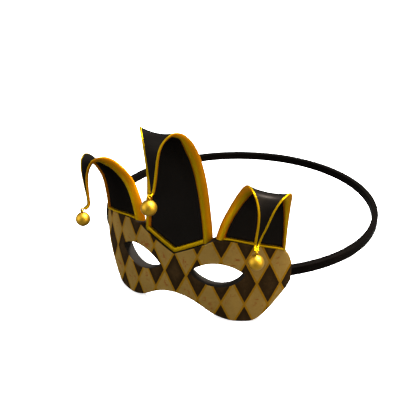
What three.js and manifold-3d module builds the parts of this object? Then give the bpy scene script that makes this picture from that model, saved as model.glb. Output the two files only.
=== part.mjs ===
// A harlequin carnival half mask: a curved padded face with two eye holes, three folded jester
// horns with gold edging, a small bell in an eyelet at each horn's tip, and a round head strap.
// Millimetres. +Z is up, the mask faces -Y, and the origin is at the middle of its back face,
// level with the eyes, where it sits on the bridge of the nose.

import * as THREE from 'three';
import Module from 'manifold-3d';
import { mergeVertices } from 'three/addons/utils/BufferGeometryUtils.js';

const wasm = await Module();
wasm.setup();

// Driving dimensions
const FRONT_RADIUS = 122.2; // the front of the face is a patch of an upright cylinder
const WRAP = 1; // how far the ends of the face lie behind that cylinder, at eye level
const LEAN = 0.02; // how much further forward the ends lie for each millimetre down
const WRAP_POWER = 4; // above 1 the wrap and lean are near the ends
const WALL = 8; // padded wall of the face
const BACK_RADIUS = FRONT_RADIUS - WALL;
const GAP = 0.4; // clearance between pieces that touch
const HALF_ARC = 88.2; // half width of the face, measured along its front
const FACE_COLUMNS = 32; // steps along each half of the face
const END_CROWDING = 1.35; // above 1 the steps get finer towards the ends

// Upper and lower edges of the face: arc is measured along the front from the middle line
const NOTCH_ARC = 25.5; // half width of the notch that takes the centre horn
const TOP_EDGE = [
  { arc: NOTCH_ARC, height: 24.4 },
  { arc: 31, height: 27.6 },
  { arc: 40, height: 28.7 },
  { arc: 52, height: 27.2 },
  { arc: 66, height: 24.2 },
  { arc: 80, height: 20.8 },
  { arc: 85.5, height: 16.5 },
  { arc: HALF_ARC, height: 8.5 },
];
const NOTCH_HEIGHT = 11.8; // bottom of the notch, on the middle line
const BOTTOM_EDGE = [
  { arc: 0, height: -22 },
  { arc: 10, height: -23.6 },
  { arc: 18.5, height: -27.3 },
  { arc: 31, height: -34.9 },
  { arc: 42, height: -38.7 },
  { arc: 52, height: -39.4 },
  { arc: 61.5, height: -38.2 },
  { arc: 70, height: -31.2 },
  { arc: 79.5, height: -19 },
  { arc: 85.6, height: -10.5 },
  { arc: HALF_ARC, height: -5.2 },
];

// Eye hole: two curves from corner to corner, each with two pulls
const EYE = {
  inner: { arc: 12.2, height: -1.4 },
  outer: { arc: 54.4, height: 1.1 },
  upper: [{ arc: 19.9, height: 8.1 }, { arc: 37.9, height: 15.6 }],
  lower: [{ arc: 45.9, height: -13.9 }, { arc: 24.9, height: -13.9 }],
};
const EYE_STEPS = 14; // straight steps along each curve
const CUT_MARGIN = 6; // how far a cutter stands out of the wall it cuts

// Head strap: an upright-sided soft tube on a level oval round the head
const STRAP_HALF_WIDTH = 117.8;
const STRAP_FRONT_DEPTH = 117.1; // from the middle of the oval to its front, inside the face
const STRAP_BACK_DEPTH = 121.8;
const STRAP_HEIGHT = 0.4; // of the middle of the tube
const STRAP_WIDE = 5.4;
const STRAP_TALL = 7.6;
const STRAP_CHAMFER = 1.3;
const STRAP_STEPS = 76;
const SOCKET_DEPTH = 7; // how far each strap end goes into the end of the face

// Horn sections from the base to the tip. u runs across the horn, v forward, z is height, for the
// two edges, and dish is how far the middle of the section bows towards the horn's front. slim is
// the width of the outer edging at its base, as a share of the inner one.
const HORN_STEPS = 32;
const CENTRE_HORN = {
  at: { x: 0, y: 0, turn: 0 },
  baseBorder: 3.8,
  slim: 1,
  rows: [
    { u: [-28.7, 28.7], v: [0.4, 0.4], z: [6, 6], dish: 3.2 },
    { u: [-27.7, 27.7], v: [0.2, 0.2], z: [33, 33], dish: 2.6 },
    { u: [-26.1, 26.1], v: [0.3, 0.3], z: [50, 50], dish: 2.4 },
    { u: [-24.9, 24.9], v: [1.3, 1.3], z: [64, 64], dish: 2.3 },
    { u: [-23.4, 23.4], v: [3.8, 3.8], z: [79, 79], dish: 2.3 },
    { u: [-21.6, 21.6], v: [8.0, 8.0], z: [92.5, 92.5], dish: 2.5 },
    { u: [-19.2, 19.2], v: [14.2, 14.2], z: [103.7, 103.7], dish: 2.7 },
    { u: [-16.4, 16.4], v: [19.6, 19.6], z: [109.3, 109.3], dish: 2.7 },
    { u: [-13.0, 13.0], v: [24.3, 24.3], z: [110.6, 110.6], dish: 2.2 },
    { u: [-9.3, 9.3], v: [28.4, 28.4], z: [107.3, 107.3], dish: 1.4 },
    { u: [-6.7, 6.7], v: [30.8, 30.8], z: [101.5, 101.5], dish: 0.8 },
    { u: [-5.2, 5.2], v: [31.7, 31.7], z: [94, 94], dish: 0.4 },
    { u: [-4.0, 4.0], v: [32.0, 32.0], z: [85, 85], dish: 0.2 },
    { u: [-2.8, 2.8], v: [32.5, 32.5], z: [76.5, 76.5], dish: 0 },
    { u: [-2.1, 2.1], v: [33.6, 33.6], z: [72, 72], dish: 0 },
    { u: [-1.7, 1.7], v: [36.2, 36.2], z: [70.1, 70.1], dish: 0 },
  ],
};
const SIDE_HORN = {
  at: { x: 52.2, y: 12, turn: THREE.MathUtils.degToRad(24) },
  baseBorder: 1.8,
  slim: 0.5,
  rows: [
    { u: [-28.8, 25.8], v: [2.6, -0.4], z: [14, 9], dish: 3.2 },
    { u: [-21.2, 26.4], v: [1.6, 1.0], z: [40, 35.5], dish: 2.4 },
    { u: [-14.2, 26.9], v: [2.6, 3.6], z: [55.5, 49.3], dish: 2.2 },
    { u: [-9.5, 27.0], v: [7.4, 8.6], z: [66.0, 59.6], dish: 2.2 },
    { u: [-6.2, 26.7], v: [13.5, 14.2], z: [73.0, 67], dish: 2.4 },
    { u: [-3.4, 24.6], v: [20.3, 20.0], z: [76.5, 71.2], dish: 2.5 },
    { u: [-0.3, 20.1], v: [25.8, 25.0], z: [74.9, 70.4], dish: 1.9 },
    { u: [2.2, 16.5], v: [28.8, 27.7], z: [69.4, 66.8], dish: 1.1 },
    { u: [3.3, 13.4], v: [30.4, 29.0], z: [62, 61], dish: 0.5 },
    { u: [2.9, 10.1], v: [31.0, 29.6], z: [52.5, 52.5], dish: 0.2 },
    { u: [2.0, 6.9], v: [31.3, 30.1], z: [45, 45], dish: 0 },
    { u: [1.5, 5.3], v: [32.0, 31.3], z: [40, 40], dish: 0 },
    { u: [1.4, 4.8], v: [35.5, 35.5], z: [38, 38], dish: 0 },
  ],
};

const HORNS = [
  { suffix: 'left', horn: SIDE_HORN, side: -1 },
  { suffix: 'centre', horn: CENTRE_HORN, side: 1 },
  { suffix: 'right', horn: SIDE_HORN, side: 1 },
];

// Gold edging along a horn, from its base to its tip: border is the flat strip seen on the front,
// bevel the slope outside it and depth its thickness. The padded panel lies between the borders.
const EDGING = [
  { along: 0, border: 2.9, bevel: 3.8, depth: 6.6 },
  { along: 0.34, border: 3.2, bevel: 3.2, depth: 5 },
  { along: 0.47, border: 2.3, bevel: 1.6, depth: 3 },
  { along: 0.62, border: 1.4, bevel: 0.7, depth: 2.2 },
  { along: 1, border: 1.15, bevel: 0.3, depth: 1.7 },
];
const SLIM_END = 0.4; // share of the horn at which the outer edging has its full width
const FRONT_SIDE = 0.5; // height of the front over the middle, as a share of the depth
const EDGING_SLOPE = [ // inward is a share of the bevel, over a share of the depth
  { inward: 1, over: FRONT_SIDE },
  { inward: 0.34, over: 0.12 },
  { inward: 0, over: -0.28 },
  { inward: 0.4, over: -FRONT_SIDE },
];
const BASE_THINNESS = 0.9; // thickness of the border along the base, as a share of the side edging
const TIP_OVERLAP = 0.2; // how far the two edges run into each other where the horn is narrow
// Panel: recess is below the border on each side, gap is beside the edging
const PANEL = { recess: 0.7, thinnest: 1, narrowest: 1.6, gap: 0.7 };
const PANEL_SPANS = 5; // facets across a panel

// Bell and its eye, which hangs in the eyelet at the tip of the edging
const BELL_RADIUS = 5.5;
const BELL_SIDES = 16;
const BELL_ROWS = 12;
const BELL_DROP = 7.6; // from the eyelet to the middle of the bell
const BELL_EYE = { radius: 1.2, wire: 0.45 };
const EYELET = { radius: 1.3, wire: 0.5 };
const RING_SIDES = 14;
const WIRE_SIDES = 6;
const EYELET_REACH = 1.8; // from the end of the edging to the middle of the eyelet

const FINISH = {
  face: { color: 0x73592a, roughness: 0.62, metalness: 0 },
  cloth: { color: 0x120e0b, roughness: 0.55, metalness: 0 },
  edging: { color: 0x9a7108, roughness: 0.42, metalness: 0.35 },
  bell: { color: 0xc89b2d, roughness: 0.28, metalness: 0.8 },
  strap: { color: 0x14110e, roughness: 0.6, metalness: 0 },
};

const UP = new THREE.Vector3(0, 0, 1);
const MERGE_DISTANCE = 1e-4;

// Meshes and solids

function bareCopy(geometry) {
  const copy = geometry.clone();
  copy.deleteAttribute('normal');
  copy.deleteAttribute('uv');
  return mergeVertices(copy, MERGE_DISTANCE);
}

function solidOf(geometry) {
  const bare = bareCopy(geometry);
  const vertProperties = new Float32Array(bare.attributes.position.array);
  const triVerts = new Uint32Array(bare.index.array);
  return new wasm.Manifold(new wasm.Mesh({ numProp: 3, vertProperties, triVerts }));
}

function geometryOf(solid) {
  const mesh = solid.getMesh();
  const geometry = new THREE.BufferGeometry();
  geometry.setAttribute('position', new THREE.BufferAttribute(mesh.vertProperties, 3));
  geometry.setIndex(new THREE.BufferAttribute(mesh.triVerts, 1));
  geometry.computeVertexNormals();
  return geometry;
}

// A closed skin through rings of points. Each ring runs along its front side and comes back along
// its back side, so that the two ends close with a row of quads.
function loft(rings) {
  const count = rings[0].length;
  const position = rings.flat().flatMap((point) => point.toArray());
  const index = [];
  const quad = (a, b, c, d) => index.push(a, b, c, a, c, d);
  for (let r = 0; r + 1 < rings.length; r += 1) {
    for (let i = 0; i < count; i += 1) {
      const j = (i + 1) % count;
      quad(r * count + i, r * count + j, (r + 1) * count + j, (r + 1) * count + i);
    }
  }
  const last = (rings.length - 1) * count;
  for (let i = 0; i + 1 < count / 2; i += 1) {
    const across = count - 1 - i;
    quad(i, across, across - 1, i + 1);
    quad(last + i, last + i + 1, last + across - 1, last + across);
  }
  const geometry = new THREE.BufferGeometry();
  geometry.setAttribute('position', new THREE.Float32BufferAttribute(position, 3));
  geometry.setIndex(index);
  return geometry;
}

// Face

// Height of an edge at an arc, on a smooth curve through the rows of its table
function smoothAt(table, arc) {
  const reach = Math.min(arc, table.at(-1).arc);
  const next = Math.max(1, table.findIndex((row) => row.arc >= reach));
  const slope = (i) => {
    const before = table[Math.max(0, i - 1)];
    const after = table[Math.min(table.length - 1, i + 1)];
    return (after.height - before.height) / (after.arc - before.arc);
  };
  const from = table[next - 1];
  const to = table[next];
  const span = to.arc - from.arc;
  const t = (reach - from.arc) / span;
  const s = 1 - t;
  const ends = from.height * (1 + 2 * t) * s * s + to.height * (3 - 2 * t) * t * t;
  return ends + span * t * s * (slope(next - 1) * s - slope(next) * t);
}

function topAt(arc) {
  const away = Math.abs(arc);
  if (away >= NOTCH_ARC) return smoothAt(TOP_EDGE, away);
  return THREE.MathUtils.lerp(NOTCH_HEIGHT, TOP_EDGE[0].height, away / NOTCH_ARC);
}

function bottomAt(arc) {
  return smoothAt(BOTTOM_EDGE, Math.abs(arc));
}

// Point at an arc along the front, a depth behind the front and a height
function wallPoint(arc, depth, height) {
  const angle = arc / FRONT_RADIUS;
  const radius = FRONT_RADIUS - depth;
  const wrap = (WRAP + LEAN * height) * Math.abs(arc / HALF_ARC) ** WRAP_POWER;
  return new THREE.Vector3(radius * Math.sin(angle), BACK_RADIUS - radius * Math.cos(angle) + wrap, height);
}

function faceArcs() {
  const half = [];
  for (let i = 1; i <= FACE_COLUMNS; i += 1) {
    half.push(HALF_ARC * (1 - (1 - i / FACE_COLUMNS) ** END_CROWDING));
  }
  return [...half.map((arc) => -arc).reverse(), 0, ...half];
}

// The face without its holes. rise lifts the upper edge and swell thickens the wall on both sides.
function faceSlab(rise = 0, swell = 0) {
  const rings = faceArcs().map((arc) => {
    const low = bottomAt(arc);
    const high = topAt(arc) + rise;
    return [
      wallPoint(arc, -swell, low),
      wallPoint(arc, WALL + swell, low),
      wallPoint(arc, WALL + swell, high),
      wallPoint(arc, -swell, high),
    ];
  });
  return solidOf(loft(rings));
}

function eyeCutter(side) {
  const shape = new THREE.Shape();
  const pull = (a, b, end) => {
    shape.bezierCurveTo(side * a.arc, a.height, side * b.arc, b.height, side * end.arc, end.height);
  };
  shape.moveTo(side * EYE.inner.arc, EYE.inner.height);
  pull(...EYE.upper, EYE.outer);
  pull(...EYE.lower, EYE.inner);
  const depth = WALL + 2 * CUT_MARGIN;
  const geometry = new THREE.ExtrudeGeometry(shape, { depth, bevelEnabled: false, curveSegments: EYE_STEPS });
  const position = geometry.attributes.position;
  for (let i = 0; i < position.count; i += 1) {
    const behind = WALL + CUT_MARGIN - position.getZ(i);
    const point = wallPoint(position.getX(i), behind, position.getY(i));
    position.setXYZ(i, point.x, point.y, point.z);
  }
  return solidOf(geometry);
}

// Head strap

class HeadLoop extends THREE.Curve {
  constructor(startAngle) {
    super();
    this.startAngle = startAngle;
  }

  getPoint(t, target = new THREE.Vector3()) {
    const angle = THREE.MathUtils.lerp(this.startAngle, 2 * Math.PI - this.startAngle, t);
    const ahead = Math.cos(angle);
    const depth = ahead > 0 ? STRAP_FRONT_DEPTH : STRAP_BACK_DEPTH;
    return target.set(STRAP_HALF_WIDTH * Math.sin(angle), BACK_RADIUS - depth * ahead, STRAP_HEIGHT);
  }
}

function strapGeometry(sunkBy, swell) {
  const up = STRAP_TALL / 2 + swell;
  const aside = STRAP_WIDE / 2 + swell;
  const inUp = up - STRAP_CHAMFER;
  const inAside = aside - STRAP_CHAMFER;
  const corners = [
    [up, -inAside], [up, inAside], [inUp, aside], [-inUp, aside],
    [-up, inAside], [-up, -inAside], [-inUp, -aside], [inUp, -aside],
  ];
  const section = new THREE.Shape(corners.map(([x, y]) => new THREE.Vector2(x, y)));
  const start = (HALF_ARC - sunkBy) / FRONT_RADIUS;
  const extrudePath = new HeadLoop(start);
  return new THREE.ExtrudeGeometry(section, { steps: STRAP_STEPS, extrudePath, bevelEnabled: false });
}

function faceSolid() {
  return faceSlab()
    .subtract(eyeCutter(1))
    .subtract(eyeCutter(-1))
    .subtract(solidOf(strapGeometry(SOCKET_DEPTH + GAP, GAP)));
}

// Horns

function hornPoint(horn, side, u, v, z) {
  const { x, y, turn } = horn.at;
  const out = x + u * Math.cos(turn) + v * Math.sin(turn);
  return new THREE.Vector3(side * out, y + u * Math.sin(turn) - v * Math.cos(turn), z);
}

// Sections along a horn: its two edges, the way across, the way to its front, and how far along it is
function hornSections(horn, side) {
  const edgeCurve = (edge) => new THREE.CatmullRomCurve3(
    horn.rows.map((row) => hornPoint(horn, side, row.u[edge], row.v[edge], row.z[edge])),
  );
  const dishes = new THREE.SplineCurve(horn.rows.map((row, i) => new THREE.Vector2(i, row.dish)));
  const edges = side > 0 ? [edgeCurve(0), edgeCurve(1)] : [edgeCurve(1), edgeCurve(0)];
  const sections = [];
  for (let i = 0; i <= HORN_STEPS; i += 1) {
    const along = i / HORN_STEPS;
    const [left, right] = edges.map((edge) => edge.getPoint(along));
    const [leftWay, rightWay] = edges.map((edge) => edge.getTangent(along));
    const across = right.clone().sub(left);
    const width = across.length();
    across.normalize();
    const front = across.clone().cross(leftWay.add(rightWay)).normalize();
    const slim = THREE.MathUtils.lerp(horn.slim, 1, THREE.MathUtils.smoothstep(along, 0, SLIM_END));
    const widths = side > 0 ? [1, slim] : [slim, 1];
    sections.push({ left, across, front, width, along, widths, dish: dishes.getPoint(along).y });
  }
  return sections;
}

// Point of a section: a distance from its left edge and a height over its dished middle surface
function sectionPoint(section, distance, over) {
  const share = distance / section.width;
  const bow = 4 * section.dish * share * (1 - share);
  return section.left.clone()
    .addScaledVector(section.across, distance)
    .addScaledVector(section.front, bow + over);
}

// Sizes of the edging on the left, 0, or the right, 1, of a section
function edgingAt(section, hand) {
  const { along, widths } = section;
  const next = Math.max(1, EDGING.findIndex((row) => row.along >= along));
  const from = EDGING[next - 1];
  const to = EDGING[next];
  const share = THREE.MathUtils.smoothstep(along, from.along, to.along);
  const between = (name) => THREE.MathUtils.lerp(from[name], to[name], share);
  return {
    border: widths[hand] * between('border'),
    bevel: widths[hand] * between('bevel'),
    depth: between('depth'),
  };
}

// Section of a sheet that follows the horn's dish, a half thickness on both sides of its middle
function flatRing(section, insets, half) {
  const row = (over) => Array.from({ length: PANEL_SPANS + 1 }, (_, i) => {
    const distance = THREE.MathUtils.lerp(insets[0], section.width - insets[1], i / PANEL_SPANS);
    return sectionPoint(section, distance, over);
  });
  return [...row(half), ...row(-half).reverse()];
}

function panelInsets(section) {
  return [0, 1].map((hand) => {
    const { border, bevel } = edgingAt(section, hand);
    return border + bevel + PANEL.gap;
  });
}

function panelRing(section) {
  const thickness = Math.max(PANEL.thinnest, edgingAt(section, 0).depth - 2 * PANEL.recess);
  return flatRing(section, panelInsets(section), thickness / 2);
}

// Section of one edging bar: a flat border in front, then a rounded slope out to the horn's edge
function edgingRing(section, hand) {
  const atLeft = hand === 0;
  const { border, bevel, depth } = edgingAt(section, hand);
  const reach = Math.min(border + bevel, section.width / 2 + TIP_OVERLAP);
  const slope = EDGING_SLOPE.map((row) => ({ inward: row.inward * bevel, over: row.over }));
  const profile = [{ inward: reach, over: FRONT_SIDE }, ...slope, { inward: reach, over: -FRONT_SIDE }];
  const ring = profile.map(({ inward, over }) => {
    const distance = atLeft ? inward : section.width - inward;
    return sectionPoint(section, distance, over * depth);
  });
  return atLeft ? ring.reverse() : ring;
}

// The whole section of the horn, a little thinner than its edging: the base border is cut from it
function fullRing(section) {
  const insets = [0, 1].map((hand) => {
    const { border, bevel } = edgingAt(section, hand);
    return bevel + border / 2;
  });
  return flatRing(section, insets, BASE_THINNESS * edgingAt(section, 0).depth / 2);
}

// Where the eyelet is, just past the end of the horn, with the level ways ahead and to the side
function hornTip(sections) {
  const end = sections.at(-1);
  const ahead = end.front.clone().cross(end.across).setZ(0).normalize();
  const aside = new THREE.Vector3(-ahead.y, ahead.x, 0);
  const eyelet = sectionPoint(end, end.width / 2, 0).addScaledVector(ahead, EYELET_REACH);
  return { eyelet, ahead, aside };
}

function ringSolid(size, centre, axis) {
  const ring = new THREE.TorusGeometry(size.radius, size.wire, WIRE_SIDES, RING_SIDES);
  ring.applyQuaternion(new THREE.Quaternion().setFromUnitVectors(UP, axis));
  ring.translate(centre.x, centre.y, centre.z);
  return solidOf(ring);
}

function hornPanel(horn, sections) {
  const wide = sections.filter((section) => {
    const [left, right] = panelInsets(section);
    return section.width > left + right + PANEL.narrowest;
  });
  const underEdge = faceSlab(GAP + horn.baseBorder + GAP, CUT_MARGIN);
  return solidOf(loft(wide.map(panelRing))).subtract(underEdge);
}

function hornEdging(horn, sections, tip) {
  const bars = [0, 1].map((hand) => solidOf(loft(sections.map((section) => edgingRing(section, hand)))));
  const rising = sections.slice(0, HORN_STEPS / 2);
  const overEdge = faceSlab(GAP + horn.baseBorder, CUT_MARGIN);
  const baseBorder = solidOf(loft(rising.map(fullRing))).intersect(overEdge);
  const eyelet = ringSolid(EYELET, tip.eyelet, tip.aside);
  return bars[0].add(bars[1]).add(baseBorder).subtract(faceSlab(GAP, CUT_MARGIN)).add(eyelet);
}

// Bells

function below(point, drop) {
  return point.clone().addScaledVector(UP, -drop);
}

function bell(tip) {
  const middle = below(tip.eyelet, BELL_DROP);
  const ball = new THREE.SphereGeometry(BELL_RADIUS, BELL_SIDES, BELL_ROWS);
  ball.rotateX(Math.PI / 2);
  ball.translate(middle.x, middle.y, middle.z);
  return solidOf(ball).add(ringSolid(BELL_EYE, below(tip.eyelet, BELL_EYE.radius), tip.ahead));
}

// Assembly

const mask = new THREE.Group();

function place(name, geometry, finish) {
  const mesh = new THREE.Mesh(geometry, new THREE.MeshStandardMaterial(finish));
  mesh.name = name;
  mask.add(mesh);
}

place('mask_face', geometryOf(faceSolid()), FINISH.face);
place('head_strap', bareCopy(strapGeometry(SOCKET_DEPTH, 0)), FINISH.strap);
for (const { suffix, horn, side } of HORNS) {
  const sections = hornSections(horn, side);
  const tip = hornTip(sections);
  place(`horn_${suffix}`, geometryOf(hornPanel(horn, sections)), FINISH.cloth);
  place(`horn_edging_${suffix}`, geometryOf(hornEdging(horn, sections, tip)), FINISH.edging);
  place(`bell_${suffix}`, geometryOf(bell(tip)), FINISH.bell);
}

export default mask;
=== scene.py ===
"""Looks of a harlequin carnival half mask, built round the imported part.

The face is a printed shell with two eye holes. Three jester horns rise from its upper edge, fold forward
and hang to a point with a bell, and an elastic strap goes round behind the head. Sizes are in millimetres
until a mesh is made, and the studio's are in metres.
"""

import logging
import math
from dataclasses import dataclass
from enum import Enum, IntEnum
from functools import partial
from typing import Callable, NamedTuple, Optional, Sequence, Union

import bmesh
import bpy
import numpy as np
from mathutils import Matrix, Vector
from mathutils.geometry import delaunay_2d_cdt


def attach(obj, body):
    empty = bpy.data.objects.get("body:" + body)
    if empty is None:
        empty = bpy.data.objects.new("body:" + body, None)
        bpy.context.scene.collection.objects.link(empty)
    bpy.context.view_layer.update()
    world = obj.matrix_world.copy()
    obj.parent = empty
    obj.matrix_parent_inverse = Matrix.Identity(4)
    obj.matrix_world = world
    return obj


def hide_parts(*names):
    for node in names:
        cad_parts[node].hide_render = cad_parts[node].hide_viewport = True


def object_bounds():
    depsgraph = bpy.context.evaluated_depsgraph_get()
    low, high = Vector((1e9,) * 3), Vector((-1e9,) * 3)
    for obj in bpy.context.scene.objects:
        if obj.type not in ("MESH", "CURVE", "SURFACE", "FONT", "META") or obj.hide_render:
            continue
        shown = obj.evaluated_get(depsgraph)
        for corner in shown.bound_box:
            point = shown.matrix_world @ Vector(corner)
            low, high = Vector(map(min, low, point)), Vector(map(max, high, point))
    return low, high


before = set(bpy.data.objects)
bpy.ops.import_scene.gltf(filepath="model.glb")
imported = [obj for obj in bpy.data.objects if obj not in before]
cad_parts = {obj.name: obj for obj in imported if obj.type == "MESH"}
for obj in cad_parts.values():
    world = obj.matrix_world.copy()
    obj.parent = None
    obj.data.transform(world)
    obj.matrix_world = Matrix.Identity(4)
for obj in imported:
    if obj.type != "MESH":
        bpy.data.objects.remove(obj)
CAD_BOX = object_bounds()

LOG = logging.getLogger("mask")
BODY = "root"
MM = 0.001  # metres in a millimetre
UV_PER_MM = 0.01  # a UV unit is 100 mm of cloth
UV_NAME = "UVMap"
SHARE_NAME = "share"  # attribute that a finish may use
CREASE_ANGLE = math.radians(38)
WELD = 1e-7  # metres between points that become one
UP = np.array([0.0, 0.0, 1.0])

Array = np.ndarray
Colour = tuple[float, float, float]
Place = tuple[float, float, float]
Span = tuple[float, float]  # where something starts and where it ends
Material = bpy.types.Material
Piece = bpy.types.Object
Socket = bpy.types.NodeSocket
Tree = bpy.types.NodeTree
Feed = Union[Socket, float, Sequence[float]]


class Slot(Enum):
    """Material slots of the record."""

    FACE = "printed_face"
    CLOTH = "horn_cloth"
    EDGING = "gold_edging"
    BELL = "bell_metal"
    STRAP = "strap"


class Side(Enum):
    """Where a horn stands, which is also the ending of its nodes' names."""

    LEFT = "left"
    CENTRE = "centre"
    RIGHT = "right"


class FaceLayer(IntEnum):
    """Materials of the face, by their place on its mesh."""

    PRINT = 0
    EDGE = 1
    EYE_RIM = 2


# Curves

LONGEST_CUT = 0.48  # share of a side that the round of a corner may take
TINY = 1e-9


def smooth_at(table: Array, position: Array) -> Array:
    """Reads a table on a smooth curve through its rows.

    Args:
        table: Rows of position and value, with rising positions.
        position: Where to read it. Beyond the ends, the end rows hold.

    Returns:
        The values, in the shape of position.
    """
    places, values = table.T
    count = len(places)
    before = np.maximum(np.arange(count) - 1, 0)
    after = np.minimum(np.arange(count) + 1, count - 1)
    slopes = (values[after] - values[before]) / (places[after] - places[before])
    reach = np.clip(position, places[0], places[-1])
    upper = np.clip(np.searchsorted(places, reach), 1, count - 1)
    lower = upper - 1
    span = places[upper] - places[lower]
    t = (reach - places[lower]) / span
    s = 1 - t
    ends = values[lower] * (1 + 2 * t) * s * s + values[upper] * (3 - 2 * t) * t * t
    return ends + span * t * s * (slopes[lower] * s - slopes[upper] * t)


def eased(value: Array, low: Array, high: Array) -> Array:
    """Shares that go smoothly from 0, at low, to 1, at high."""
    share = np.clip((value - low) / (high - low), 0, 1)
    return share * share * (3 - 2 * share)


def unit(vectors: Array) -> Array:
    """Vectors of length 1."""
    return vectors / np.linalg.norm(vectors, axis=-1, keepdims=True)


def lengths(points: Array) -> Array:
    """Distance along rows of points, from the first one of each."""
    steps = np.linalg.norm(np.diff(points, axis=0), axis=-1)
    return np.concatenate([np.zeros((1, *steps.shape[1:])), np.cumsum(steps, axis=0)])


def handle_curve(points: Sequence[tuple[float, float]], steps: int) -> Array:
    """Points of a smooth curve that two handles shape, without its last one.

    Args:
        points: Its start, two handles and end.
        steps: How many points to make.

    Returns:
        Points of shape (steps, 2).
    """
    p0, p1, p2, p3 = (np.array(p) for p in points)
    t = np.linspace(0, 1, steps, endpoint=False)[:, None]
    s = 1 - t
    return s**3 * p0 + 3 * s * s * t * p1 + 3 * s * t * t * p2 + t**3 * p3


def rounded(corners: Array, radius: Array, steps: int) -> Array:
    """Rounds the corners of closed outlines.

    Args:
        corners: Outlines of shape (..., corners, 2).
        radius: How far from a corner its round starts, one for each outline.
        steps: Points on each round.

    Returns:
        Outlines of shape (..., corners * steps, 2).
    """
    before = np.roll(corners, 1, axis=-2) - corners
    after = np.roll(corners, -1, axis=-2) - corners
    t = np.linspace(0, 1, steps)[:, None]
    s = 1 - t
    rounds = []
    for i in range(corners.shape[-2]):
        corner = corners[..., i, :]
        cuts = []
        for side in (before[..., i, :], after[..., i, :]):
            length = np.linalg.norm(side, axis=-1, keepdims=True)
            reach = np.minimum(radius[..., None], LONGEST_CUT * length)
            cuts.append(corner + side / np.maximum(length, TINY) * reach)
        start, end = (cut[..., None, :] for cut in cuts)
        rounds.append(s * s * start + 2 * s * t * corner[..., None, :] + t * t * end)
    return np.concatenate(rounds, axis=-2)


class EdgeCurve:
    """A smooth curve through points, with its knots spaced by the root of their distance."""

    KNOT_POWER = 0.5
    STEP = 1e-4  # to each side of a point, to find the way of the curve

    def __init__(self, points: Array) -> None:
        """Keeps the points, with one more beyond each end.

        Args:
            points: Points of shape (points, 3).
        """
        first = 2 * points[0] - points[1]
        last = 2 * points[-1] - points[-2]
        self.points = np.vstack([first, points, last])
        self.spans = len(points) - 1

    def at(self, t: Array) -> Array:
        """Points of the curve.

        Args:
            t: How far along, from 0 to 1, in any shape.

        Returns:
            Points, with one more axis than t.
        """
        place = np.clip(t, 0, 1) * self.spans
        index = np.minimum(place.astype(int), self.spans - 1)
        w = (place - index)[..., None]
        p0, p1, p2, p3 = (self.points[index + i] for i in range(4))
        pairs = ((p0, p1), (p1, p2), (p2, p3))
        d0, d1, d2 = (np.linalg.norm(b - a, axis=-1, keepdims=True) ** self.KNOT_POWER for a, b in pairs)
        m1 = d1 * ((p1 - p0) / d0 - (p2 - p0) / (d0 + d1) + (p2 - p1) / d1)
        m2 = d1 * ((p2 - p1) / d1 - (p3 - p1) / (d1 + d2) + (p3 - p2) / d2)
        cubic = 2 * p1 - 2 * p2 + m1 + m2
        square = 3 * p2 - 3 * p1 - 2 * m1 - m2
        return ((cubic * w + square) * w + m1) * w + p1

    def way(self, t: Array) -> Array:
        """Unit directions along the curve at t."""
        ahead = self.at(np.minimum(t + self.STEP, 1)) - self.at(np.maximum(t - self.STEP, 0))
        return unit(ahead)


# Meshes


def cloth_uv(points: Array) -> Array:
    """UVs that measure rings of points: u round them, v along them.

    Args:
        points: Rings of shape (rings, points, 3), in millimetres.

    Returns:
        UVs of shape (rings, points + 1, 2).
    """
    closed = np.concatenate([points, points[:, :1]], axis=1)
    across = lengths(np.swapaxes(closed, 0, 1)).T
    along = np.broadcast_to(lengths(closed).mean(axis=1)[:, None], across.shape)
    return np.stack([across, along], axis=-1) * UV_PER_MM


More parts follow.
